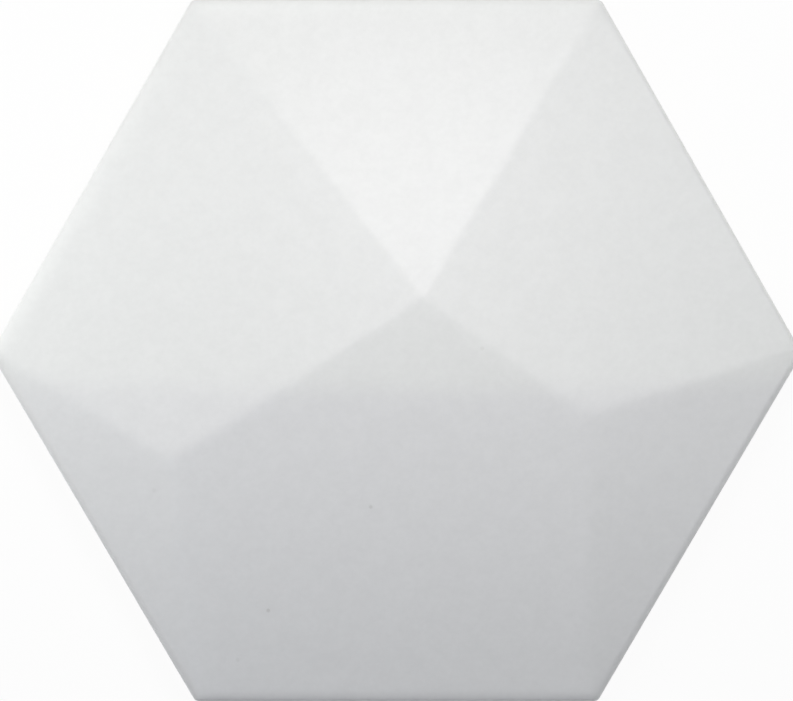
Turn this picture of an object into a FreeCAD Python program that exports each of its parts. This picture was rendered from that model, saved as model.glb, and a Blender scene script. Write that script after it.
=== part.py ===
"""Hexagonal relief wall tile: one pressed and glazed ceramic piece.

The face is a low faceted peak. Six flat facets rise from the six sides of the hexagon, each at its
own pitch, and meet in softly rounded ridges. The facets from the top, upper right, bottom and upper
left sides all pass through one off-centre peak. The facets from the lower right and lower left sides
are steeper, and each ends in a point on the ridge between its two neighbours. The rim is a soft
elliptical round, the sides taper towards the back, and the back has a plain border and shallow
keying pockets between ribs.

Millimetres. X points right and Y up as the face is seen, Z points out of the face. The origin is
the middle of the back, on the plane that the tile beds on.
"""

import FreeCAD
import Part
import math
import os

Vec = FreeCAD.Vector

# Outline and thickness
ACROSS_FLATS = 107.0  # between opposite sides
SIDE_THICKNESS = 8.0  # height of the line where every facet would meet its side
CORNER_RADIUS = 1.0  # the six upright corners, seen from above

# Relief
PEAK_RISE = 7.0  # above the side thickness, before the ridges are rounded
PEAK_RIGHT = 4.1  # of the middle
PEAK_UP = 8.3  # above the middle
LOWER_RIGHT_SETBACK = 23.3  # how far in from its side the lower right facet ends
LOWER_LEFT_SETBACK = 14.6  # the same for the lower left facet
RIDGE_RADIUS = 8.5  # the glaze softens every ridge

# Rim and sides
RIM_WIDTH = 2.4  # how far in from the side the rim's round begins
RIM_DROP = 1.0  # how far down the side it ends
LAND_BOTTOM = 4.5  # the side is upright from here up to the rim
SIDE_DRAFT = 0.6  # below that it leans in by this much

# Keyed back
BACK_BORDER = 7.0
RIB_COUNT = 9  # odd, so that one rib crosses the middle
RIB_WIDTH = 3.0
POCKET_DEPTH = 0.8
POCKET_DRAFT = 0.4  # each pocket wall leans by this much

# Each side, clockwise from the top, and the direction that it faces, in degrees from +X
SIDE_NAMES = ("top", "upper right", "lower right", "bottom", "lower left", "upper left")
SIDES = {name: 90 - 60 * turn for turn, name in enumerate(SIDE_NAMES)}

HALF = ACROSS_FLATS / 2
REACH = 3 * ACROSS_FLATS  # long enough for any cutting profile to run past the tile


def distance_to_side(side, x, y):
    """How far the point (x, y) lies inside a side of the hexagon."""
    angle = math.radians(SIDES[side])
    return HALF - x * math.cos(angle) - y * math.sin(angle)


def slope_to_peak(side):
    """Rise per millimetre of a facet that runs from its side up to the peak."""
    return PEAK_RISE / distance_to_side(side, PEAK_RIGHT, PEAK_UP)


def slope_to_ridge(setback, side_before, side_after):
    """Rise per millimetre of a facet that ends, at its setback, on the ridge of its two neighbours.

    At a point that far in, the distances to the two neighbouring sides add up to HALF + setback,
    and the ridge is where both neighbours have the same height.
    """
    runs_per_rise = 1 / slope_to_peak(side_before) + 1 / slope_to_peak(side_after)
    return (HALF + setback) / runs_per_rise / setback


def facet_slope(side):
    if side == "lower right":
        return slope_to_ridge(LOWER_RIGHT_SETBACK, "upper right", "bottom")
    if side == "lower left":
        return slope_to_ridge(LOWER_LEFT_SETBACK, "bottom", "upper left")
    return slope_to_peak(side)


def lines(points):
    """Straight edges from each point (x, z) to the next."""
    corners = [Vec(x, 0, z) for x, z in points]
    return [Part.makeLine(a, b) for a, b in zip(corners, corners[1:])]


def run_along_side(edges, side):
    """A closed profile, drawn in X and Z with +X out of the side, extruded both ways along it."""
    face = Part.Face(Part.Wire(edges))
    face.translate(Vec(0, -REACH, 0))
    bar = face.extrude(Vec(0, 2 * REACH, 0))
    bar.rotate(Vec(0, 0, 0), Vec(0, 0, 1), SIDES[side])
    return bar


def under_facet(side, sunk):
    """Everything below one facet's plane, with the plane moved inwards by a distance."""
    slope = facet_slope(side)
    height = SIDE_THICKNESS - sunk * math.hypot(1, slope)
    outer, inner = HALF + REACH, HALF - REACH
    points = [
        (outer, -REACH),
        (outer, height - slope * REACH),
        (inner, height + slope * REACH),
        (inner, -REACH),
        (outer, -REACH),
    ]
    return run_along_side(lines(points), side)


def side_section(side):
    """Everything inside one side: tapered foot, upright land, and the rim's round up to the facet."""
    slope = facet_slope(side)
    above = SIDE_THICKNESS + slope * REACH
    rim_foot = (HALF, SIDE_THICKNESS - RIM_DROP)
    rim_start = (HALF - RIM_WIDTH, SIDE_THICKNESS + slope * RIM_WIDTH)
    rim = Part.BezierCurve()
    rim.setPoles([Vec(x, 0, z) for x, z in (rim_foot, (HALF, SIDE_THICKNESS), rim_start)])
    rim.setWeight(2, math.sqrt(0.5))  # makes the curve a quarter of an ellipse
    outside = lines([(-REACH, 0), (HALF - SIDE_DRAFT, 0), (HALF, LAND_BOTTOM), rim_foot])
    inside = lines([rim_start, (rim_start[0], above), (-REACH, above), (-REACH, 0)])
    return run_along_side(outside + [rim.toShape()] + inside, side)


def hexagon(across_flats, height, first_corner=0):
    """A closed wire with a corner in the given direction, in degrees from +X."""
    radius = across_flats / math.sqrt(3)
    corners = []
    for turn in range(0, 361, 60):
        angle = math.radians(first_corner + turn)
        corners.append(Vec(radius * math.cos(angle), radius * math.sin(angle), height))
    return Part.makePolygon(corners)


def common_solid(first, second):
    return first.common(second).Solids[0]


def rounded_roof():
    """The six facets as a block that runs past the outline, with its ridges rounded.

    The sharp block is made lower by the ridge radius and grown by it again, which leaves the facets
    in their planes and rolls a ball of that radius along every ridge and into every point. The
    block is turned so that each ridge runs out through the middle of one of its walls.
    """
    wide = hexagon(2 * ACROSS_FLATS, -ACROSS_FLATS, first_corner=30)
    block = Part.Face(wide).extrude(Vec(0, 0, REACH))
    for side in SIDES:
        block = common_solid(block, under_facet(side, RIDGE_RADIUS))
    return block.makeOffsetShape(RIDGE_RADIUS, 0.001, join=0).Solids[0]


def corner_form():
    """The outline with its upright corners rounded, taller than the tile."""
    block = Part.Face(hexagon(ACROSS_FLATS, 0)).extrude(Vec(0, 0, SIDE_THICKNESS + PEAK_RISE))
    upright = [edge for edge in block.Edges if edge.Vertexes[0].Z != edge.Vertexes[1].Z]
    return block.makeFillet(CORNER_RADIUS, upright)


def rib(middle):
    """The solid between two rows of pockets, along X: narrow at the back and wider at its root."""
    crest = RIB_WIDTH / 2
    root = crest + POCKET_DRAFT
    outline = [(middle - crest, 0), (middle + crest, 0), (middle + root, POCKET_DEPTH),
               (middle - root, POCKET_DEPTH), (middle - crest, 0)]
    section = Part.makePolygon([Vec(-REACH, y, z) for y, z in outline])
    return Part.Face(section).extrude(Vec(2 * REACH, 0, 0))


def back_pockets():
    """The keying pockets: a shallow hexagon with leaning walls, parted by evenly spaced ribs."""
    inner = ACROSS_FLATS - 2 * BACK_BORDER
    mouth = hexagon(inner, 0)
    floor = hexagon(inner - 2 * POCKET_DRAFT, POCKET_DEPTH)
    pockets = Part.makeLoft([mouth, floor], True, True)
    pitch = inner / (RIB_COUNT + 1)
    for number in range(RIB_COUNT):
        pockets = pockets.cut(rib((number - (RIB_COUNT - 1) / 2) * pitch))
    return pockets


def hexagon_tile():
    outline = corner_form()
    for side in SIDES:
        outline = common_solid(outline, side_section(side))
    tile = common_solid(outline, rounded_roof())
    return tile.cut(back_pockets()).Solids[0]


def main():
    os.makedirs("parts", exist_ok=True)
    tile = hexagon_tile()
    tile.exportStep("parts/hexagon_tile.step")
    box = tile.BoundBox
    print("valid", tile.isValid(), "faces", len(tile.Faces), "volume", round(tile.Volume, 1))
    print("box", round(box.XLength, 3), round(box.YLength, 3), round(box.ZLength, 3))


main()
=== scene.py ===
"""A hexagonal relief wall tile, dressed for a product photograph.

The tile is one pressed, glazed and fired piece. Its face rises in six flat facets to an off-centre
peak under a matt white glaze that softens every ridge. The glaze laps over the rim and ends in a
wavy line on the sides. Below it, and on the ribbed back, the fired body is bare.
Sizes and shapes are in millimetres. They become metres where they go into a mesh or a place.
"""

import math

import bmesh
import bpy
import numpy as np
from bpy.props import FloatProperty, FloatVectorProperty, IntProperty, PointerProperty
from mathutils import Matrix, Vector


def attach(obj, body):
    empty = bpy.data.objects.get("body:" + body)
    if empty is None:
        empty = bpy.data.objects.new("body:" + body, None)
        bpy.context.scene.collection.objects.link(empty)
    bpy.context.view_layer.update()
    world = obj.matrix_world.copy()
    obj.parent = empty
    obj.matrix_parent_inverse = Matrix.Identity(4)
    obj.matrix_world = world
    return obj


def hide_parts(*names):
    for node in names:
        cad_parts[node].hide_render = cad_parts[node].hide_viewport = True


bl_info = {
    "name": "Hexagon relief wall tile",
    "version": (1, 0, 0),
    "blender": (4, 5, 0),
    "location": "3D View > Sidebar > Tile",
    "description": "Builds a glazed hexagonal relief tile and the studio that it is photographed in",
    "category": "Object",
}

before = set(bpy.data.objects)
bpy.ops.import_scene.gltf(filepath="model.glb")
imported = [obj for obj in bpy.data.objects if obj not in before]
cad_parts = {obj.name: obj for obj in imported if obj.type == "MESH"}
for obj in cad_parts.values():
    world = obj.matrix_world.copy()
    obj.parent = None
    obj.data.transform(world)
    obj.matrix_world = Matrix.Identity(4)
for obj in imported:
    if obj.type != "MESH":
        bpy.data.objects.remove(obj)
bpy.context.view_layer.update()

MM = 0.001
MERGE_DISTANCE = 1e-7  # metres; vertices this close are one

# Outward directions of the sides, clockwise from the top
TURNS = np.radians(np.array([90.0, 30.0, -30.0, -90.0, -150.0, 150.0]))
NORMALS = np.stack([np.cos(TURNS), np.sin(TURNS)], axis=1)
TOP, UPPER_RIGHT, LOWER_RIGHT, BOTTOM, LOWER_LEFT, UPPER_LEFT = range(6)
PEAK_FACETS = [TOP, UPPER_RIGHT, BOTTOM, UPPER_LEFT]

# Specks in the glaze: millimetres right of and above the middle, radius in millimetres, and strength
SPECKS = (
    (-19.52, -39.02, 0.38, 0.22),
    (-3.89, -22.95, 0.36, 0.17),
    (12.8, 1.2, 0.4, 0.08),
    (-36.65, -20.5, 0.4, 0.06),
    (-24.25, -46.8, 0.4, 0.07),
)


def linear_colour(code):
    """The linear colour of an sRGB hex code such as #EDEDEB, with full opacity."""
    parts = [int(code[i:i + 2], 16) / 255 for i in (1, 3, 5)]
    linear = [p / 12.92 if p <= 0.04045 else ((p + 0.055) / 1.055) ** 2.4 for p in parts]
    return (*linear, 1.0)


def mm_property(label, about, value, low=0.0):
    """A length in millimetres that the sidebar shows."""
    return FloatProperty(name=label, description=about, default=value, min=low, precision=2)


class TileForm(bpy.types.PropertyGroup):
    """Sizes of the pressed form, in millimetres."""

    across_flats: mm_property("Across flats", "Distance between opposite sides", 107.0, 10.0)
    side_thickness: mm_property("Side thickness", "Height where the facets meet the sides", 8.0)
    corner_radius: mm_property("Corner radius", "Rounding of the six upright corners", 1.0)
    peak_rise: mm_property("Peak rise", "Height of the sharp peak above the side thickness", 6.97)
    peak_right: mm_property("Peak right", "How far right of the middle the peak lies", 3.97, -40.0)
    peak_up: mm_property("Peak up", "How far above the middle the peak lies", 8.66, -40.0)
    right_setback: mm_property("Lower right setback", "How far in the lower right facet ends", 23.8, 1.0)
    left_setback: mm_property("Lower left setback", "How far in the lower left facet ends", 16.1, 1.0)
    facet_sink: FloatVectorProperty(
        name="Facet sink", size=6, default=(0.0, 0.0, 0.23, 0.0, 0.19, 0.0), min=0.0, precision=2,
        description="How far below the side thickness a facet meets its side, clockwise from the top side")
    crest_height: mm_property("Crest height", "How far a ridge that runs to the peak stands proud", 0.07)
    crest_reach: mm_property("Crest reach", "How far from its ridge a crest falls to a third", 3.5, 0.1)
    crest_start: mm_property("Crest start", "How far from the peak a crest has its whole height", 20.0, 0.1)
    rim_widths: FloatVectorProperty(
        name="Rim widths", description="How far in the rim's round begins, clockwise from the top side",
        size=6, default=(3.51, 0.87, 1.33, 2.07, 1.34, 3.31), min=0.1, precision=2)
    rim_depths: FloatVectorProperty(
        name="Rim depths", description="How deep that round is, clockwise from the top side",
        size=6, default=(0.75, 0.63, 0.87, 0.59, 0.53, 0.89), min=0.0, precision=2)
    lip_width: mm_property("Lip width", "Width of the strip that rolls over to the side", 0.6, 0.05)
    rim_drop: mm_property("Rim drop", "How far down the side the rim and its lip end", 1.0)
    land_bottom: mm_property("Land bottom", "The side is upright above this height", 4.5)
    side_draft: mm_property("Side draft", "How far the foot of the side leans in", 0.6)
    back_border: mm_property("Back border", "Width of the plain border round the back", 7.0)
    rib_count: IntProperty(name="Ribs", description="Ribs across the back", default=9, min=1)
    rib_width: mm_property("Rib width", "Width of the crest of a rib", 3.0)
    pocket_depth: mm_property("Pocket depth", "Depth between the ribs", 0.8)
    pocket_draft: mm_property("Pocket draft", "How far each pocket wall leans", 0.4)


class GlazeFinish(bpy.types.PropertyGroup):
    """The glaze and the bare body under it."""

    ridge_softness: mm_property("Ridge softness", "Radius over which the glaze levels a ridge", 0.62)
    lower_softness: mm_property("Lower softness", "Extra radius on the lower half", 0.55)
    glaze_line: mm_property("Glaze line", "Height on the sides where the glaze ends", 5.3)
    glaze_wave: mm_property("Glaze wave", "How far the end of the glaze wanders", 0.25)
    unevenness: mm_property("Unevenness", "Height of the faint waves in the glaze", 0.006)
    glaze: FloatVectorProperty(
        name="Glaze", description="Matt white glaze", subtype="COLOR", size=4,
        default=linear_colour("#EFEFEF"))
    biscuit: FloatVectorProperty(
        name="Biscuit", description="Bare fired body", subtype="COLOR", size=4,
        default=linear_colour("#DCD2C3"))
    speck: FloatVectorProperty(
        name="Speck", description="Grain of clay under the glaze", subtype="COLOR", size=4,
        default=linear_colour("#8F8A80"))
    rings: IntProperty(
        name="Rings", description="Rows of mesh from the middle to the side", default=154, min=40)


class StudioSetup(bpy.types.PropertyGroup):
    """Camera and lamps."""

    camera_height: mm_property("Camera height", "Height of the camera above the floor", 400.0)
    camera_forward: mm_property("Camera forward", "How far towards +Y the camera stands", 24.5)
    camera_lean: FloatProperty(
        name="Camera lean", description="Lean of the camera off straight down", subtype="ANGLE",
        default=math.radians(3.5))
    lens_mm: FloatProperty(
        name="Lens", description="Focal length on a 36 mm wide sensor", default=117.4, unit="CAMERA")
    lamp_level: FloatProperty(
        name="Lamp level", description="Multiplies the power of every lamp", default=1.0)


def corner_distance(form):
    """From the middle to a sharp corner of the outline."""
    return form.across_flats / 2 / math.cos(math.pi / 6)


def facet_slopes(form):
    """Rise per length of the six facets.

    Four facets reach the peak, so their slope is the rise over the distance from their side to the
    peak. The two lower side facets end on the ridge between their neighbours, at their setback.
    There the distances to the neighbouring sides add up to half the width plus the setback, and the
    facet has its own sink to make up as well.
    """
    half = form.across_flats / 2
    peak = np.array([form.peak_right, form.peak_up])
    slopes = form.peak_rise / (half - NORMALS @ peak)
    for side, setback, before, after in (
        (LOWER_RIGHT, form.right_setback, UPPER_RIGHT, BOTTOM),
        (LOWER_LEFT, form.left_setback, BOTTOM, UPPER_LEFT),
    ):
        ridge_rise = (half + setback) / (1 / slopes[before] + 1 / slopes[after])
        slopes[side] = (ridge_rise + form.facet_sink[side]) / setback
    return slopes


def soft_step(t):
    """0 below 0, 1 above 1, and 3 t squared minus 2 t cubed between."""
    t = np.clip(t, 0, 1)
    return t * t * (3 - 2 * t)


def sharp_roof(form, x, y):
    """Height of the facets before any rounding: the lowest of the six planes, and crests.

    A facet that reaches the peak is a little hollow: it steepens towards its ridges, so they stand
    proud as crests. A crest falls off exponentially with the distance to its ridge. It fades out
    towards the peak, and on the two lower side facets with the depth that they cut off.
    """
    cut_fade = 0.3
    slopes = facet_slopes(form)
    inset = form.across_flats / 2 - (x[..., None] * NORMALS[:, 0] + y[..., None] * NORMALS[:, 1])
    planes = inset * slopes - np.array(form.facet_sink)
    lowest = planes.min(axis=-1)

    to_peak = planes[..., PEAK_FACETS]
    order = np.argsort(to_peak, axis=-1)[..., :2]
    pair = np.take_along_axis(to_peak, order, axis=-1)
    fall = (NORMALS * slopes[:, None])[PEAK_FACETS]
    turn = np.linalg.norm(fall[order[..., 0]] - fall[order[..., 1]], axis=-1)
    away = (pair[..., 1] - pair[..., 0]) / turn
    cut_off = pair[..., 0] - lowest
    fade = soft_step(np.hypot(x - form.peak_right, y - form.peak_up) / form.crest_start)
    crest = form.crest_height * fade * np.exp(-away / form.crest_reach - cut_off / cut_fade)
    return form.side_thickness + lowest + crest


def glazed_roof(form, finish, x, y):
    """Height of the facets under the glaze.

    The glaze levels itself, so each height is the mean of the sharp roof over a small disc, sampled
    on a sunflower spiral. The disc grows by a soft step from 2 mm above the middle to 10 mm below it,
    because the glaze lay thicker on the lower half.
    """
    start, band, samples = 2.0, 12.0, 55
    radius = finish.ridge_softness + finish.lower_softness * soft_step((start - y) / band)
    spiral = np.arange(samples) + 0.5
    reach = np.sqrt(spiral / samples)
    turn = spiral * math.pi * (3 - math.sqrt(5))
    total = np.zeros(x.shape)
    for step_x, step_y in zip(reach * np.cos(turn), reach * np.sin(turn)):
        total += sharp_roof(form, x + radius * step_x, y + radius * step_y)
    return total / samples


def faint_waves(x, y, shortest, longest, count, seed):
    """A sum of sine waves of random direction, length and phase, with a spread of about 1."""
    chance = np.random.default_rng(seed)
    total = np.zeros(x.shape)
    for _ in range(count):
        turn, phase = chance.uniform(0, 2 * math.pi, 2)
        length = math.exp(chance.uniform(math.log(shortest), math.log(longest)))
        total += np.sin((x * math.cos(turn) + y * math.sin(turn)) * 2 * math.pi / length + phase)
    return total / math.sqrt(count / 2)


def round_corners(form, points):
    """Moves points of a sharp hexagon inwards along their rays, so that its corners are rounded.

    Near a corner the ray ends on the corner's circle instead of on the side, and every point of the
    ray is drawn in by the same share.
    """
    half, radius = form.across_flats / 2, form.corner_radius
    turn = np.arctan2(points[..., 1], points[..., 0])
    off = np.abs((turn + math.pi / 6) % (math.pi / 3) - math.pi / 6)
    side_reach = half / np.cos(math.pi / 6 - off)
    centre = (half - radius) / math.cos(math.pi / 6)
    arc_reach = centre * np.cos(off) + np.sqrt(np.maximum(radius**2 - (centre * np.sin(off)) ** 2, 0))
    tangent = radius * math.tan(math.pi / 6)
    corner = corner_distance(form)
    limit = math.atan2(tangent * math.sin(math.pi / 3), corner - tangent * math.cos(math.pi / 3))
    share = np.where(off < limit, arc_reach / side_reach, 1.0)
    return points * share[..., None]


def hexagon_sheet(rings):
    """A hexagon with corners one unit from the middle, as three rhombus grids.

    Each rhombus is spanned by two arms 120 degrees apart: point = a * one arm + b * the next, with a
    and b from 0 to 1. The larger of a and b tells the ring, and every ring is a hexagon.
    """
    arms = np.radians(np.array([0.0, 120.0, 240.0]))
    first = np.stack([np.cos(arms), np.sin(arms)], axis=1)
    second = np.roll(first, -1, axis=0)
    share = np.linspace(0.0, 1.0, rings + 1)
    a, b = np.meshgrid(share, share, indexing="ij")
    points = a[None, :, :, None] * first[:, None, None] + b[None, :, :, None] * second[:, None, None]
    ring = np.broadcast_to(np.rint(np.maximum(a, b) * rings).astype(int), points.shape[:3])
    return points, ring


def grid_quads(rows, columns, start=0, closed=False):
    """Quads of a grid of vertices, numbered row by row.

    A closed grid joins its last column to its first.
    """
    across = columns if closed else columns - 1
    i, j = np.meshgrid(np.arange(rows - 1), np.arange(across), indexing="ij")
    k = (j + 1) % columns
    here, below = i * columns, (i + 1) * columns
    quads = np.stack([here + j, below + j, below + k, here + k], axis=-1)
    return quads.reshape(-1, 4) + start


def towards_side(values, x, y):
    """The value of the side that a point lies towards, out of one value for each side.

    Within 8 degrees of a corner it passes softly from one side's value to the next, and right at
    the corner it is the mean of the two.
    """
    passing = 8
    values = np.array(values)
    turn = (math.pi / 2 - np.arctan2(y, x)) / (math.pi / 3)
    side = np.rint(turn)
    off = turn - side
    beyond = side + np.where(off < 0, -1, 1)
    share = 0.5 * soft_step((np.abs(off) * 60 - (30 - passing)) / passing)
    return values[side.astype(int) % 6] * (1 - share) + values[beyond.astype(int) % 6] * share


def quarter_round(inset, width, depth):
    """A quarter of an ellipse: nothing at its width in from the side, its whole depth at the side."""
    reach = np.clip(1 - inset / width, 0, 1)
    return depth * (1 - np.sqrt(1 - reach**2))


def rim_fall(form, inset, x, y):
    """How far the rim lies below the facet: the wide round of its side, and the tight round of the lip."""
    width = towards_side(form.rim_widths, x, y)
    depth = towards_side(form.rim_depths, x, y)
    lip = quarter_round(inset, form.lip_width, form.rim_drop - depth)
    return quarter_round(inset, width, depth) + lip


def face_part(form, finish):
    """The glazed face and its rim.

    Rings are evenly spaced up to the widest rim. Across the rim their insets are its width times
    (1 - sin t), for t from 0 to a right angle, so that they crowd together where it is steep. The
    waves in the glaze begin 0.5 mm in from the side and are full 4 mm further in. They are sunk by
    about the height of their crests, so that the glaze keeps to the height of the pressed form.
    """
    rings, rim_rings = finish.rings, 20
    calm_strip, growing_strip, wave_sink = 0.5, 4.0, 3.4
    half = form.across_flats / 2
    widest = max(form.rim_widths)
    t = np.linspace(0.0, math.pi / 2, rim_rings + 1)
    inner = np.linspace(half, widest, rings - rim_rings + 1)
    inset = np.concatenate([inner[:-1], widest * (1 - np.sin(t))])

    unit, ring = hexagon_sheet(rings)
    share = (half - inset) / half * rings / np.maximum(np.arange(rings + 1), 1)
    points = round_corners(form, unit * corner_distance(form) * share[ring][..., None])
    x, y = points[..., 0], points[..., 1]
    height = glazed_roof(form, finish, x, y) - rim_fall(form, inset[ring], x, y)
    growing = np.clip((inset[ring] - calm_strip) / growing_strip, 0, 1)
    waves = faint_waves(x, y, shortest=5.0, longest=22.0, count=24, seed=11)
    height += finish.unevenness * growing * (waves - wave_sink)
    corners = np.stack([x, y, height], axis=-1).reshape(-1, 3)
    size = rings + 1
    quads = np.concatenate([grid_quads(size, size, start) for start in (0, size**2, 2 * size**2)])
    return corners, quads, np.ones(len(corners))


def side_part(form, finish, rim_height):
    """The sides: a profile carried once round the outline.

    Each row of the profile has its inset, its height, the share that it moves up and down with the
    wavy end of the glaze, and whether glaze covers it. The wave is a sum of sine waves that run
    2 to 47 times round the outline, each with a random phase and weaker the shorter it is.
    """
    half = form.across_flats / 2
    lean = form.side_draft / form.land_bottom
    line, coat = finish.glaze_line, 0.12
    top, land, foot = form.side_thickness - form.rim_drop, form.land_bottom, coat + form.side_draft
    profile = np.array([
        # Glazed side, and the rounded end of the glaze
        (0.0, top, 0.0, 1.0),
        (0.0, top - 0.5, 0.1, 1.0),
        (0.0, line + 0.9, 0.5, 1.0),
        (0.0, line + 0.35, 1.0, 1.0),
        (0.015, line + 0.16, 1.0, 1.0),
        (0.06, line + 0.05, 1.0, 1.0),
        # Bare land and taper
        (coat, line, 1.0, 0.0),
        (coat, line - 0.25, 0.8, 0.0),
        (coat, land, 0.0, 0.0),
        (coat + lean * 1.2, land - 1.2, 0.0, 0.0),
        (coat + lean * 2.8, land - 2.8, 0.0, 0.0),
        # Worn edge of the back, and the back's border
        (foot - 0.05, 0.42, 0.0, 0.0),
        (foot + 0.03, 0.16, 0.0, 0.0),
        (foot + 0.16, 0.04, 0.0, 0.0),
        (foot + 0.36, 0.0, 0.0, 0.0),
        (foot + 0.8, 0.0, 0.0, 0.0),
    ])
    rings = finish.rings
    turns = np.radians(np.arange(7) * 60.0)
    corners = corner_distance(form) * np.stack([np.cos(turns), np.sin(turns)], axis=1)
    share = (np.arange(rings) / rings)[None, :, None]
    outline = (corners[:-1, None] * (1 - share) + corners[1:, None] * share).reshape(-1, 2)
    outline = round_corners(form, outline)
    around = np.arange(len(outline)) / len(outline) * 2 * math.pi
    chance = np.random.default_rng(5)
    wave = np.zeros(len(outline))
    for turns_round in (2, 3, 5, 8, 13, 21, 34, 47):
        wave += np.sin(around * turns_round + chance.uniform(0, 6.3)) / math.sqrt(turns_round)
    wave *= finish.glaze_wave / np.abs(wave).max()

    inset, height, follows, cover = profile.T
    xy = outline[None] * ((half - inset) / half)[:, None, None]
    z = height[:, None] + follows[:, None] * wave[None]
    z[0] = rim_height(outline)
    points = np.concatenate([xy, z[..., None]], axis=-1).reshape(-1, 3)
    quads = grid_quads(len(profile), len(outline), closed=True)
    return points, quads, np.repeat(cover, len(outline))


def pocket_part(form):
    """The keyed middle of the back.

    Rows run along the ribs and columns across them. The depth is the pocket depth times a soft step
    of the distance to the nearest rib crest, times a soft step of the distance to the border. Rows
    and columns crowd together at the pocket walls.
    """
    half = form.across_flats / 2 - form.back_border
    draft, outer = form.pocket_draft, half + 0.12
    pitch = 2 * half / (form.rib_count + 1)
    ribs = (np.arange(form.rib_count) - (form.rib_count - 1) / 2) * pitch
    crest = form.rib_width / 2
    wall = np.array([-0.3, 0.0, 0.2, 0.5, 0.8, 1.0, 1.3]) * draft
    up_walls = np.concatenate([[-half], ribs + crest])[:, None] + wall
    down_walls = np.concatenate([ribs - crest, [half]])[:, None] - wall
    rows = np.sort(np.concatenate([up_walls.ravel(), down_walls.ravel()]))
    rows[0], rows[-1] = -outer, outer

    end_wall = np.array([0.0, 0.12, 0.2, 0.3, 0.42, 0.54, 0.66, 0.9])
    middle = np.linspace(-1, 1, 13)[1:-1]
    reach = ((2 * outer - np.abs(rows)) / math.sqrt(3))[:, None]
    ends = reach - end_wall
    x = np.concatenate([-ends, ends[:, -1:] * middle, ends[:, ::-1]], axis=1)
    y = np.repeat(rows[:, None], x.shape[1], axis=1)
    to_crest = np.minimum(
        np.abs(y[..., None] - ribs).min(axis=-1) - crest,
        half - np.abs(y),
    )
    to_border = ((2 * half - np.abs(y)) / math.sqrt(3) - np.abs(x)) * math.cos(math.pi / 6)
    z = form.pocket_depth * soft_step(to_crest / draft) * soft_step(to_border / draft)
    points = np.stack([x, y, z], axis=-1).reshape(-1, 3)
    quads = grid_quads(len(rows), x.shape[1])
    return points, quads, np.zeros(len(points))


def join_parts(parts, name):
    """One closed mesh in metres from several grids, with a glaze_cover value on every vertex."""
    starts = np.cumsum([0] + [len(points) for points, _, _ in parts[:-1]])
    points = np.concatenate([p for p, _, _ in parts]) * MM
    quads = np.concatenate([q + start for (_, q, _), start in zip(parts, starts)])
    cover = np.concatenate([c for _, _, c in parts])
    mesh = bpy.data.meshes.new(name)
    mesh.vertices.add(len(points))
    mesh.vertices.foreach_set("co", points.ravel())
    mesh.loops.add(quads.size)
    mesh.loops.foreach_set("vertex_index", quads.ravel())
    mesh.polygons.add(len(quads))
    mesh.polygons.foreach_set("loop_start", np.arange(0, quads.size, 4))
    mesh.update(calc_edges=True)
    attribute = mesh.attributes.new("glaze_cover", "FLOAT", "POINT")
    attribute.data.foreach_set("value", cover)

    bm = bmesh.new()
    bm.from_mesh(mesh)
    bmesh.ops.remove_doubles(bm, verts=bm.verts, dist=MERGE_DISTANCE)
    open_edges = [edge for edge in bm.edges if edge.is_boundary]
    bmesh.ops.triangle_fill(bm, edges=open_edges, use_beauty=True, normal=(0, 0, -1))
    bmesh.ops.recalc_face_normals(bm, faces=bm.faces)
    for face in bm.faces:
        face.smooth = True
    left_open = sum(edge.is_boundary or not edge.is_manifold for edge in bm.edges)
    if left_open:
        raise RuntimeError(f"the tile's mesh has {left_open} open edges")
    bm.to_mesh(mesh)
    bm.free()
    return mesh


def add_node(tree, kind, settings=None, links=None):
    """A shader node with its settings, its input values and its links from other nodes' outputs."""
    node = tree.nodes.new(kind)
    for name, value in (settings or {}).items():
        if hasattr(node, name):
            setattr(node, name, value)
        else:
            node.inputs[name].default_value = value
    for name, source in (links or {}).items():
        tree.links.new(source, node.inputs[name])
    return node


def shaded(colour, red, green, blue):
    """A colour with its red, green and blue multiplied by a share each, with full opacity."""
    return (colour[0] * red, colour[1] * green, colour[2] * blue, 1)


def add_specks(tree, place, colour, finish):
    """Darkens the glaze at a few pinpoint specks, where grains of clay show through it.

    The darkening is full inside half of a speck's radius and fades out linearly up to its radius.
    """
    flat = add_node(tree, "ShaderNodeVectorMath", {"operation": "MULTIPLY"}, {0: place})
    flat.inputs[1].default_value = (1, 1, 0)
    for x_mm, y_mm, radius_mm, depth in SPECKS:
        spot = add_node(tree, "ShaderNodeVectorMath", {"operation": "DISTANCE"}, {0: flat.outputs["Vector"]})
        spot.inputs[1].default_value = (x_mm * MM, y_mm * MM, 0)
        shade = add_node(tree, "ShaderNodeMapRange", {
            "From Min": radius_mm * MM / 2, "From Max": radius_mm * MM, "To Min": depth, "To Max": 0.0}, {
            "Value": spot.outputs["Value"]})
        mixed = add_node(tree, "ShaderNodeMix", {"data_type": "RGBA"}, {
            "Factor": shade.outputs["Result"], "A": colour})
        mixed.inputs["B"].default_value = finish.speck
        colour = mixed.outputs["Result"]
    return colour


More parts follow.
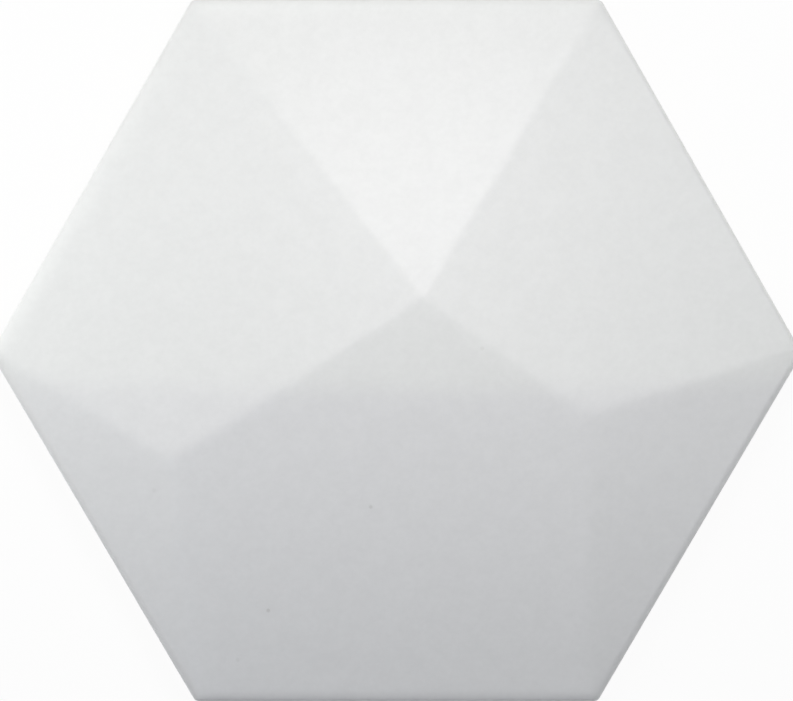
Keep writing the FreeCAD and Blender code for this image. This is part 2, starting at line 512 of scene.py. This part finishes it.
def matt_glaze_on_biscuit(finish):
    """Matt white zirconium glaze, sprayed and fired over a pressed earthenware body.

    The glaze scatters light, so the face has no mirror image, only a broad soft sheen. Its surface
    is faintly mottled where it levelled over the pressed clay. The bare body is dull, cream and
    grainy.
    """
    material = bpy.data.materials.new("matt_white_glaze_on_biscuit")
    material.use_nodes = True
    tree = material.node_tree
    tree.nodes.clear()
    place = add_node(tree, "ShaderNodeTexCoord").outputs["Object"]
    cover = add_node(tree, "ShaderNodeAttribute", {"attribute_name": "glaze_cover"}).outputs["Fac"]

    # Mottling about 3 mm across, and a finer skin of about 0.9 mm
    mottle = add_node(tree, "ShaderNodeTexNoise", {"Scale": 330.0, "Detail": 3.0, "Roughness": 0.6}, {
        "Vector": place})
    skin = add_node(tree, "ShaderNodeTexNoise", {"Scale": 1100.0, "Detail": 2.0, "Roughness": 0.6}, {
        "Vector": place})
    # Clay grains of about 0.4 mm
    grain = add_node(tree, "ShaderNodeTexNoise", {"Scale": 2600.0, "Detail": 4.0, "Roughness": 0.7}, {
        "Vector": place})

    blotch = add_node(tree, "ShaderNodeMath", {"operation": "ADD"}, {
        "Value": mottle.outputs["Fac"], "Value_001": skin.outputs["Fac"]})
    glaze_tone = add_node(tree, "ShaderNodeMapRange", {
        "From Min": 0.75, "From Max": 1.25, "To Min": 0.0, "To Max": 1.0}, {
        "Value": blotch.outputs["Value"]})
    even_glaze = add_node(tree, "ShaderNodeMix", {"data_type": "RGBA"}, {
        "Factor": glaze_tone.outputs["Result"]})
    even_glaze.inputs["A"].default_value = shaded(finish.glaze, 0.98, 0.98, 0.98)
    even_glaze.inputs["B"].default_value = shaded(finish.glaze, 1.01, 1.01, 1.01)
    glaze = add_specks(tree, place, even_glaze.outputs["Result"], finish)
    body = add_node(tree, "ShaderNodeMix", {"data_type": "RGBA"}, {"Factor": grain.outputs["Fac"]})
    body.inputs["A"].default_value = shaded(finish.biscuit, 0.86, 0.85, 0.83)
    body.inputs["B"].default_value = shaded(finish.biscuit, 1.1, 1.1, 1.1)
    colour = add_node(tree, "ShaderNodeMix", {"data_type": "RGBA"}, {
        "Factor": cover, "A": body.outputs["Result"], "B": glaze})
    # From the bare body's roughness to the glaze's
    rough = add_node(tree, "ShaderNodeMapRange", {
        "From Min": 0.0, "From Max": 1.0, "To Min": 0.92, "To Max": 0.42}, {"Value": cover})
    glaze_height = add_node(tree, "ShaderNodeMath", {"operation": "MULTIPLY_ADD", "Value_001": 0.15}, {
        "Value": skin.outputs["Fac"], "Value_002": mottle.outputs["Fac"]})
    height = add_node(tree, "ShaderNodeMix", {"data_type": "FLOAT"}, {
        "Factor": cover, "A": grain.outputs["Fac"], "B": glaze_height.outputs["Value"]})
    bump = add_node(tree, "ShaderNodeBump", {"Strength": 0.35, "Distance": 0.00004}, {
        "Height": height.outputs["Result"]})
    shader = add_node(tree, "ShaderNodeBsdfPrincipled", {"IOR": 1.5}, {
        "Base Color": colour.outputs["Result"],
        "Roughness": rough.outputs["Result"],
        "Normal": bump.outputs["Normal"]})
    add_node(tree, "ShaderNodeOutputMaterial", {}, {"Surface": shader.outputs["BSDF"]})
    return material


def add_object(scene, name, mesh, material):
    """A new object with its one material, in the scene."""
    mesh.materials.append(material)
    holder = bpy.data.objects.new(name, mesh)
    scene.collection.objects.link(holder)
    return holder


class TILE_OT_press_and_glaze(bpy.types.Operator):
    """Makes the glazed tile in place of the plain solid"""

    bl_idname = "tile.press_and_glaze"
    bl_label = "Press and glaze the tile"
    bl_options = {"REGISTER", "UNDO"}

    def execute(self, context):
        form, finish = context.scene.tile_form, context.scene.tile_finish

        def rim_height(outline):
            roof = glazed_roof(form, finish, outline[:, 0], outline[:, 1])
            return roof - form.rim_drop

        face = face_part(form, finish)
        side = side_part(form, finish, rim_height)
        mesh = join_parts([face, side, pocket_part(form)], "glazed_tile")
        tile = add_object(context.scene, "glazed_tile", mesh, matt_glaze_on_biscuit(finish))
        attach(tile, "root")
        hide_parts("hexagon_tile")
        return {"FINISHED"}


def add_softbox(scene, name, azimuth, elevation, distance, width, depth, watts, tint):
    """A rectangular lamp that faces the middle of the tile. Angles in degrees, azimuth from +X."""
    a, e = math.radians(azimuth), math.radians(elevation)
    way = Vector((math.cos(a) * math.cos(e), math.sin(a) * math.cos(e), math.sin(e)))
    lamp = bpy.data.lights.new(name, "AREA")
    lamp.shape = "RECTANGLE"
    lamp.size, lamp.size_y = width * MM, depth * MM
    lamp.energy = watts * scene.tile_studio.lamp_level
    lamp.color = linear_colour(tint)[:3]
    holder = bpy.data.objects.new(name, lamp)
    holder.location = way * distance * MM
    holder.rotation_euler = way.to_track_quat("Z", "Y").to_euler()
    holder.visible_camera = False
    scene.collection.objects.link(holder)


def add_stage_sheet(scene, name, low, high, height, material):
    """A flat level rectangle of the studio between two (x, y) corners."""
    (x0, y0), (x1, y1) = low, high
    mesh = bpy.data.meshes.new(name)
    corners = [(x0, y0, height), (x1, y0, height), (x1, y1, height), (x0, y1, height)]
    mesh.from_pydata([[value * MM for value in corner] for corner in corners], [], [(0, 1, 2, 3)])
    sheet = add_object(scene, name, mesh, material)
    return sheet


def add_floor(scene, reach, opening, material):
    """A level hexagon of the given reach to its corners, with a hexagonal opening under the tile.

    The opening stays inside the tile's foot, so it shows only from below, where it frees the back.
    """
    turns = np.radians(np.arange(6) * 60.0)
    ring = np.stack([np.cos(turns), np.sin(turns), np.zeros(6)], axis=1)
    mesh = bpy.data.meshes.new("studio_floor")
    corners = np.concatenate([ring * opening, ring * reach]) * MM
    quads = [(i, i + 6, (i + 1) % 6 + 6, (i + 1) % 6) for i in range(6)]
    mesh.from_pydata(corners.tolist(), [], quads)
    floor = add_object(scene, "studio_floor", mesh, material)


def add_backdrop(scene, radius, material):
    """A round white tent behind everything. It gives the tile no light and takes none from it."""
    mesh = bpy.data.meshes.new("backdrop_tent")
    bm = bmesh.new()
    bmesh.ops.create_uvsphere(bm, u_segments=64, v_segments=32, radius=radius * MM)
    bm.to_mesh(mesh)
    bm.free()
    tent = add_object(scene, "backdrop_tent", mesh, material)
    tent.visible_diffuse = tent.visible_glossy = tent.visible_transmission = tent.visible_shadow = False


def studio_material(name, code, roughness, settings):
    """A plain material of one colour and roughness, with any other values of its shader."""
    material = bpy.data.materials.new(name)
    material.use_nodes = True
    inputs = material.node_tree.nodes["Principled BSDF"].inputs
    inputs["Base Color"].default_value = linear_colour(code)
    inputs["Roughness"].default_value = roughness
    for socket, value in settings.items():
        inputs[socket].default_value = value
    return material


def lit_white_paper():
    """Matt studio paper, lit from below like a light table, so that it is white with almost no shadow."""
    return studio_material("lit_white_paper", "#404040", 0.9, {
        "Specular IOR Level": 0.1, "Emission Color": (1, 1, 1, 1), "Emission Strength": 0.942})


def black_card():
    """Matt black card that keeps a lamp's light off part of the tile."""
    return studio_material("black_card", "#101010", 1.0, {})


class TILE_OT_studio(bpy.types.Operator):
    """Makes the pale floor, the soft lamps and the camera above the tile"""

    bl_idname = "tile.studio"
    bl_label = "Set up the studio"
    bl_options = {"REGISTER", "UNDO"}

    def execute(self, context):
        scene = context.scene
        studio = scene.tile_studio
        paper = lit_white_paper()
        add_floor(scene, reach=1700, opening=59.6, material=paper)
        add_backdrop(scene, radius=1400, material=paper)

        # Soft lamps round the tile
        add_softbox(scene, "overhead_softbox", azimuth=85, elevation=68.1, distance=167.7,
                    width=50, depth=50, watts=0.0684, tint="#FFFAFC")
        add_softbox(scene, "left_softbox", azimuth=169.9, elevation=27.2, distance=150,
                    width=120, depth=120, watts=0.0674, tint="#FDFFFC")
        add_softbox(scene, "far_softbox", azimuth=100.1, elevation=41.8, distance=404.5,
                    width=150, depth=150, watts=0.4278, tint="#FCFFFB")
        add_softbox(scene, "right_softbox", azimuth=11.6, elevation=51.9, distance=198.3,
                    width=200, depth=200, watts=0.1145, tint="#FCFFFF")
        add_softbox(scene, "near_softbox", azimuth=-128.2, elevation=57.9, distance=385,
                    width=150, depth=150, watts=0.1495, tint="#E2EBFF")

        # A thin strip lamp. The card's straight edge ends its light along a line across the tile
        add_softbox(scene, "strip_lamp", azimuth=270, elevation=77.5, distance=922,
                    width=400, depth=4.5, watts=0.3744, tint="#F4FFDE")
        card = add_stage_sheet(
            scene, "strip_card", low=(-400, -390), high=(400, -89.9), height=400, material=black_card())
        card.visible_camera = False

        # Lights the ribbed back through the opening in the floor
        add_softbox(scene, "underside_softbox", azimuth=-60, elevation=-50, distance=400,
                    width=300, depth=300, watts=2.0, tint="#FFFFFF")

        world = bpy.data.worlds.new("studio_air")
        world.use_nodes = True
        air = world.node_tree.nodes["Background"].inputs
        air["Color"].default_value = (1, 1, 1, 1)
        air["Strength"].default_value = 0.06
        scene.world = world

        lens = bpy.data.cameras.new("product_camera")
        lens.lens = studio.lens_mm
        lens.clip_start, lens.clip_end = 0.01, 10.0
        camera = bpy.data.objects.new("product_camera", lens)
        camera.location = (0.0, studio.camera_forward * MM, studio.camera_height * MM)
        camera.rotation_euler = (-studio.camera_lean, 0, 0)
        scene.collection.objects.link(camera)
        scene.camera = camera
        scene.view_settings.view_transform = "Standard"
        return {"FINISHED"}


class TILE_PT_panel(bpy.types.Panel):
    """Lists the steps and the sizes in the sidebar"""

    bl_idname = "TILE_PT_panel"
    bl_label = "Relief tile"
    bl_space_type = "VIEW_3D"
    bl_region_type = "UI"
    bl_category = "Tile"

    def draw(self, context):
        layout = self.layout
        layout.operator(TILE_OT_press_and_glaze.bl_idname)
        layout.operator(TILE_OT_studio.bl_idname)
        for group in (context.scene.tile_form, context.scene.tile_finish, context.scene.tile_studio):
            box = layout.box()
            for name in group.__annotations__:
                box.prop(group, name)


CLASSES = (TileForm, GlazeFinish, StudioSetup, TILE_OT_press_and_glaze, TILE_OT_studio, TILE_PT_panel)


def register():
    for cls in CLASSES:
        bpy.utils.register_class(cls)
    bpy.types.Scene.tile_form = PointerProperty(type=TileForm)
    bpy.types.Scene.tile_finish = PointerProperty(type=GlazeFinish)
    bpy.types.Scene.tile_studio = PointerProperty(type=StudioSetup)


def unregister():
    del bpy.types.Scene.tile_studio
    del bpy.types.Scene.tile_finish
    del bpy.types.Scene.tile_form
    for cls in reversed(CLASSES):
        bpy.utils.unregister_class(cls)


def main():
    register()
    bpy.ops.tile.press_and_glaze()
    bpy.ops.tile.studio()


if __name__ == "__main__":
    main()
